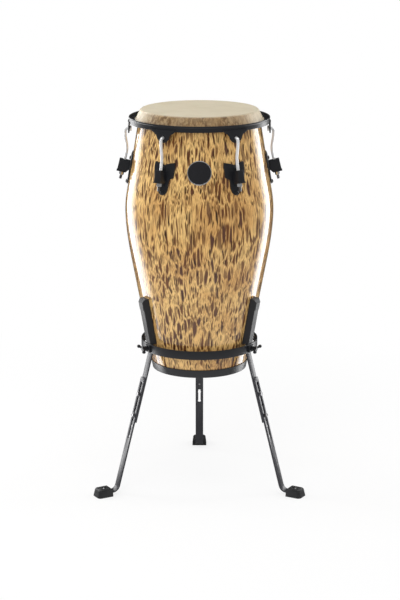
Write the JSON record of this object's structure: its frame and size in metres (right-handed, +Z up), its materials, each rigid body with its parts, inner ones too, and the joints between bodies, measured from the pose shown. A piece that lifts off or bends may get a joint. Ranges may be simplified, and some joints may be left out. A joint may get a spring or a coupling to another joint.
{
  "type": "tumba",
  "caption": "Low-pitched barrel hand drum with a skin head, tuning hooks and a clamping rim, seated in a basket stand with slotted, adjustable legs and rubber feet.",
  "frame": {"origin": "on the floor, under the middle of the whole object's box; the drum's own axis is 60.4 mm towards -Y from it", "axes": "+Z up along the drum's axis; the front, with the badge, faces -Y; one leg points to +Y"},
  "size_m": [0.578, 0.5262, 1.0403],
  "materials": {
    "shell": "clear gloss lacquer over golden wood with dark burl flecks",
    "skin": "natural, matte, darker on the collar",
    "black_steel": "satin black powder coat",
    "chrome": "bright plated",
    "zinc": "bright zinc plated",
    "rubber": "matte black",
    "badge": "black enamel, bare, with a bright edge"
  },
  "bodies": {
    "stand": {"stand_ring": "black_steel", "leg_upright_1": "black_steel", "leg_upright_2": "black_steel", "leg_upright_3": "black_steel", "rubber_pad_1": "rubber", "rubber_pad_2": "rubber", "rubber_pad_3": "rubber", "clamp_block_1": "black_steel", "clamp_block_2": "black_steel", "clamp_block_3": "black_steel", "leg_bolt_1a": "zinc", "leg_bolt_1b": "zinc", "leg_bolt_2a": "zinc", "leg_bolt_2b": "zinc", "leg_bolt_3a": "zinc", "leg_bolt_3b": "zinc"},
    "drum": {"shell": "shell", "bottom_ring": "black_steel", "head_skin": "skin", "flesh_hoop": "zinc", "badge": "badge", "lug_plate_1": "black_steel", "lug_plate_2": "black_steel", "lug_plate_3": "black_steel", "lug_plate_4": "black_steel", "lug_plate_5": "black_steel", "lug_plate_6": "black_steel", "backing_plate_1": "zinc", "backing_plate_2": "zinc", "backing_plate_3": "zinc", "backing_plate_4": "zinc", "backing_plate_5": "zinc", "backing_plate_6": "zinc"},
    "rim": {"rim": "black_steel"},
    "hook_1": {"hook_1": "chrome"},
    "hook_nut_1": {"hook_nut_1": "chrome"},
    "hook_2": {"hook_2": "chrome"},
    "hook_nut_2": {"hook_nut_2": "chrome"},
    "hook_3": {"hook_3": "chrome"},
    "hook_nut_3": {"hook_nut_3": "chrome"},
    "hook_4": {"hook_4": "chrome"},
    "hook_nut_4": {"hook_nut_4": "chrome"},
    "hook_5": {"hook_5": "chrome"},
    "hook_nut_5": {"hook_nut_5": "chrome"},
    "hook_6": {"hook_6": "chrome"},
    "hook_nut_6": {"hook_nut_6": "chrome"},
    "leg_1": {"lower_leg_1": "black_steel", "foot_1": "rubber", "foot_screw_1": "zinc"},
    "leg_2": {"lower_leg_2": "black_steel", "foot_2": "rubber", "foot_screw_2": "zinc"},
    "leg_3": {"lower_leg_3": "black_steel", "foot_3": "rubber", "foot_screw_3": "zinc"},
    "wing_screw_1": {"wing_screw_1": "black_steel"},
    "wing_screw_2": {"wing_screw_2": "black_steel"},
    "wing_screw_3": {"wing_screw_3": "black_steel"}
  },
  "joints": [
    {"name": "drum_lift", "type": "slide", "parent": "stand", "child": "drum", "axis": [0, 0, 1], "range_m": [0, 0.25]},
    {"name": "rim_travel", "type": "slide", "parent": "drum", "child": "rim", "axis": [0, 0, 1], "range_m": [0, 0.006]},
    {"name": "hook_1_travel", "type": "slide", "parent": "drum", "child": "hook_1", "axis": [-0.2351, 0, 0.972], "range_m": [0, 0.0064]},
    {"name": "hook_nut_1_turn", "type": "hinge", "parent": "drum", "child": "hook_nut_1", "pos_m": [0.2089, -0.0628, 0.8702], "axis": [0.2351, 0, -0.972], "range_deg": [0, 1800]},
    {"name": "hook_2_travel", "type": "slide", "parent": "drum", "child": "hook_2", "axis": [-0.1176, -0.2036, 0.972], "range_m": [0, 0.0064]},
    {"name": "hook_nut_2_turn", "type": "hinge", "parent": "drum", "child": "hook_nut_2", "pos_m": [0.10445, 0.11811, 0.8702], "axis": [0.1176, 0.2036, -0.972], "range_deg": [0, 1800]},
    {"name": "hook_3_travel", "type": "slide", "parent": "drum", "child": "hook_3", "axis": [0.1176, -0.2036, 0.972], "range_m": [0, 0.0064]},
    {"name": "hook_nut_3_turn", "type": "hinge", "parent": "drum", "child": "hook_nut_3", "pos_m": [-0.10445, 0.11811, 0.8702], "axis": [-0.1176, 0.2036, -0.972], "range_deg": [0, 1800]},
    {"name": "hook_4_travel", "type": "slide", "parent": "drum", "child": "hook_4", "axis": [0.2351, 0, 0.972], "range_m": [0, 0.0064]},
    {"name": "hook_nut_4_turn", "type": "hinge", "parent": "drum", "child": "hook_nut_4", "pos_m": [-0.2089, -0.0628, 0.8702], "axis": [-0.2351, 0, -0.972], "range_deg": [0, 1800]},
    {"name": "hook_5_travel", "type": "slide", "parent": "drum", "child": "hook_5", "axis": [0.1176, 0.2036, 0.972], "range_m": [0, 0.0064]},
    {"name": "hook_nut_5_turn", "type": "hinge", "parent": "drum", "child": "hook_nut_5", "pos_m": [-0.10445, -0.24371, 0.8702], "axis": [-0.1176, -0.2036, -0.972], "range_deg": [0, 1800]},
    {"name": "hook_6_travel", "type": "slide", "parent": "drum", "child": "hook_6", "axis": [-0.1176, 0.2036, 0.972], "range_m": [0, 0.0064]},
    {"name": "hook_nut_6_turn", "type": "hinge", "parent": "drum", "child": "hook_nut_6", "pos_m": [0.10445, -0.24371, 0.8702], "axis": [0.1176, -0.2036, -0.972], "range_deg": [0, 1800]},
    {"name": "leg_1_extend", "type": "slide", "parent": "stand", "child": "leg_1", "axis": [0, 0.2696, -0.963], "range_m": [-0.06, 0.03]},
    {"name": "leg_2_extend", "type": "slide", "parent": "stand", "child": "leg_2", "axis": [-0.2335, -0.1348, -0.963], "range_m": [-0.06, 0.03]},
    {"name": "leg_3_extend", "type": "slide", "parent": "stand", "child": "leg_3", "axis": [0.2335, -0.1348, -0.963], "range_m": [-0.06, 0.03]},
    {"name": "wing_screw_1_turn", "type": "hinge", "parent": "stand", "child": "wing_screw_1", "pos_m": [0, 0.0872, 0.3975], "axis": [0, 1, 0], "continuous": true},
    {"name": "wing_screw_2_turn", "type": "hinge", "parent": "stand", "child": "wing_screw_2", "pos_m": [-0.1299, -0.1378, 0.3975], "axis": [-0.866, -0.5, 0], "continuous": true},
    {"name": "wing_screw_3_turn", "type": "hinge", "parent": "stand", "child": "wing_screw_3", "pos_m": [0.1299, -0.1378, 0.3975], "axis": [0.866, -0.5, 0], "continuous": true}
  ],
  "couplings": [
    {"joint": "hook_1_travel", "follows": "rim_travel", "ratio": 1.0289},
    {"joint": "hook_nut_1_turn", "follows": "rim_travel", "rad_per_m": 5171.6},
    {"joint": "hook_2_travel", "follows": "rim_travel", "ratio": 1.0289},
    {"joint": "hook_nut_2_turn", "follows": "rim_travel", "rad_per_m": 5171.6},
    {"joint": "hook_3_travel", "follows": "rim_travel", "ratio": 1.0289},
    {"joint": "hook_nut_3_turn", "follows": "rim_travel", "rad_per_m": 5171.6},
    {"joint": "hook_4_travel", "follows": "rim_travel", "ratio": 1.0289},
    {"joint": "hook_nut_4_turn", "follows": "rim_travel", "rad_per_m": 5171.6},
    {"joint": "hook_5_travel", "follows": "rim_travel", "ratio": 1.0289},
    {"joint": "hook_nut_5_turn", "follows": "rim_travel", "rad_per_m": 5171.6},
    {"joint": "hook_6_travel", "follows": "rim_travel", "ratio": 1.0289},
    {"joint": "hook_nut_6_turn", "follows": "rim_travel", "rad_per_m": 5171.6}
  ]
}
